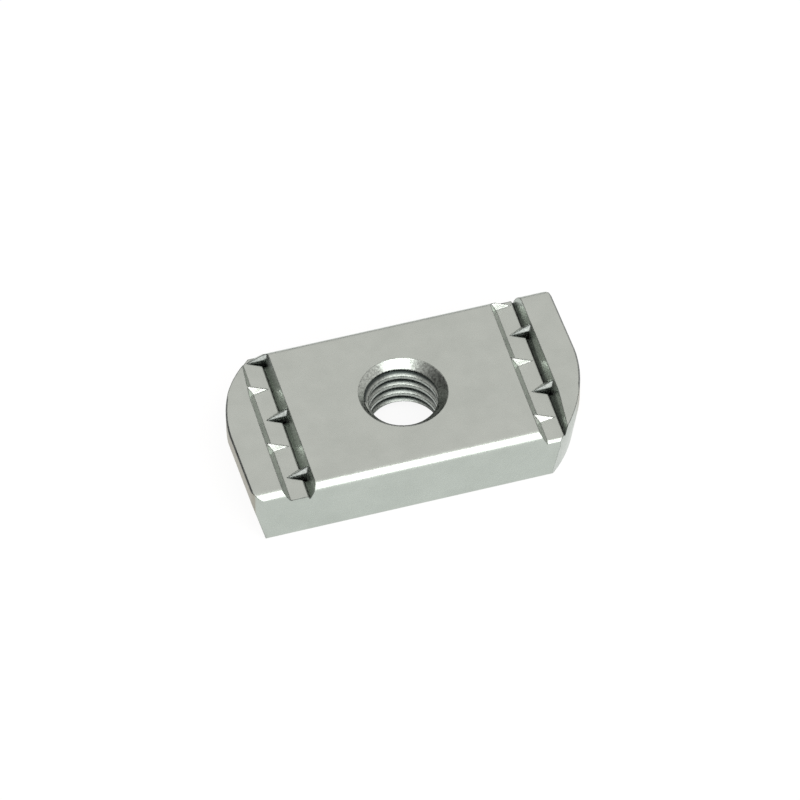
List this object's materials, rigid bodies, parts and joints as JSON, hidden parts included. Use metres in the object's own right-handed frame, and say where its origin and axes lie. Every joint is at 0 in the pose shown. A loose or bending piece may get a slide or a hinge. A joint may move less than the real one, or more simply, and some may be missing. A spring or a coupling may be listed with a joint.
{
  "type": "channel nut",
  "caption": "Flat steel nut for strut channel: toothed grooves grip the channel's lips, rounded corners let it turn in the slot, and a central threaded bore takes a bolt.",
  "frame": {"origin": "on the bore's axis, on the plain face that the nut lies on", "axes": "+X along the bar across the two grooves, +Y along the grooves, +Z along the bore towards the grooved face"},
  "size_m": [0.0348, 0.018, 0.0063],
  "materials": {
    "zinc_plated_steel": "satin zinc plating"
  },
  "bodies": {
    "root": {"channel_nut": "zinc_plated_steel"}
  },
  "joints": []
}
